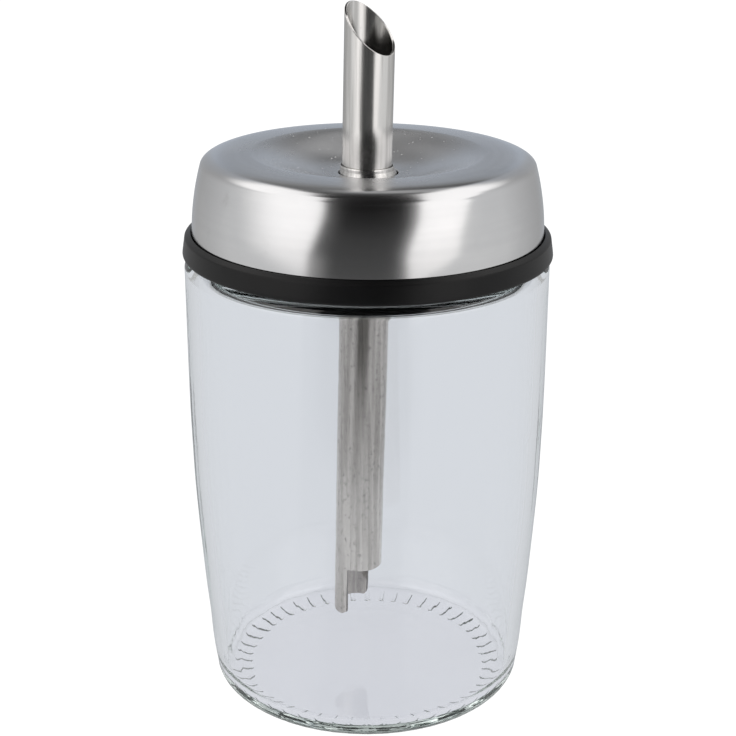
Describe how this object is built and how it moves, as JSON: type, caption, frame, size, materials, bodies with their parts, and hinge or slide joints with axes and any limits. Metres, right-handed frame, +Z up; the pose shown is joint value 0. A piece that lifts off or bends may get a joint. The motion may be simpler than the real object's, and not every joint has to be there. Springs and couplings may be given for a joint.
{
  "type": "sugar dispenser",
  "caption": "Glass sugar dispenser with a screw-on dished steel lid, a black threaded insert and a steel dosing tube with a slanted spout.",
  "frame": {"origin": "centre of the jar's base, on the surface it stands on", "axes": "+Z up along the jar's and the lid's common axis, +X to the right and -Y towards the viewer of the picture; the spout's low lip faces right and forward"},
  "size_m": [0.0752, 0.0752, 0.1448],
  "materials": {
    "glass_clear": "clear pressed soda-lime glass, polished outside",
    "lid_steel": "bright stainless sheet, lightly brushed on top",
    "insert_black": "satin black polypropylene",
    "seal_white": "soft off-white",
    "tube_steel": "bright drawn stainless tube with fine lengthwise lines",
    "collar_steel": "bright",
    "bush_black": "matt",
    "retainer_steel": "plain spring steel"
  },
  "bodies": {
    "jar": {"glass_jar": "glass_clear"},
    "liner": {"sealing_ring": "seal_white"},
    "lid": {"lid_shell": "lid_steel", "lid_insert": "insert_black", "dosing_tube": "tube_steel", "tube_collar": "collar_steel", "tube_bush": "bush_black", "tube_retainer": "retainer_steel"}
  },
  "joints": [
    {"name": "lid_rise", "type": "slide", "parent": "jar", "child": "liner", "axis": [0, 0, 1], "range_m": [0, 0.0064]},
    {"name": "lid_unscrew", "type": "hinge", "parent": "liner", "child": "lid", "pos_m": [0, 0, 0.1], "axis": [0, 0, 1], "range_deg": [0, 540]}
  ],
  "couplings": [
    {"joint": "lid_rise", "follows": "lid_unscrew", "m_per_rad": 0.00067322}
  ]
}
